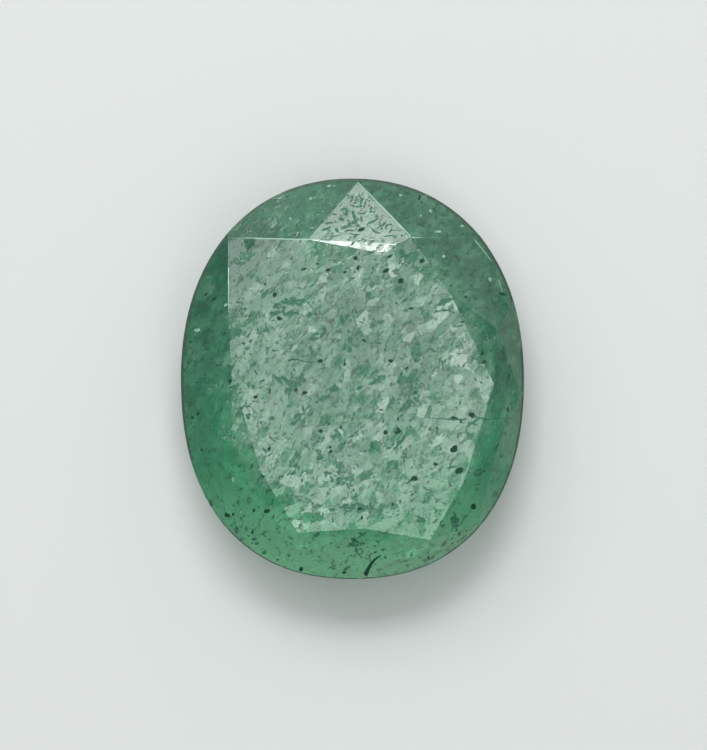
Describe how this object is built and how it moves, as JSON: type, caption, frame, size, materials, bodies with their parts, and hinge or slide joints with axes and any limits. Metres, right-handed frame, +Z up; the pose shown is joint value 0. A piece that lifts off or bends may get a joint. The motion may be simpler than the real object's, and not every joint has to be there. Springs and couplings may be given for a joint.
{
  "type": "faceted oval jade gemstone",
  "caption": "Oval faceted gemstone of translucent green jade with dark inclusions, lying on its flat back.",
  "frame": {"origin": "middle of the flat back, which the stone lies on", "axes": "+Z up through the table, +Y along the stone's length towards the bright kite facet, +X across it"},
  "size_m": [0.012, 0.014, 0.0043],
  "materials": {
    "jade": "polished",
    "dark_inclusion": "satin",
    "pale_inclusion": "satin"
  },
  "bodies": {
    "root": {"stone": "jade"}
  },
  "joints": []
}
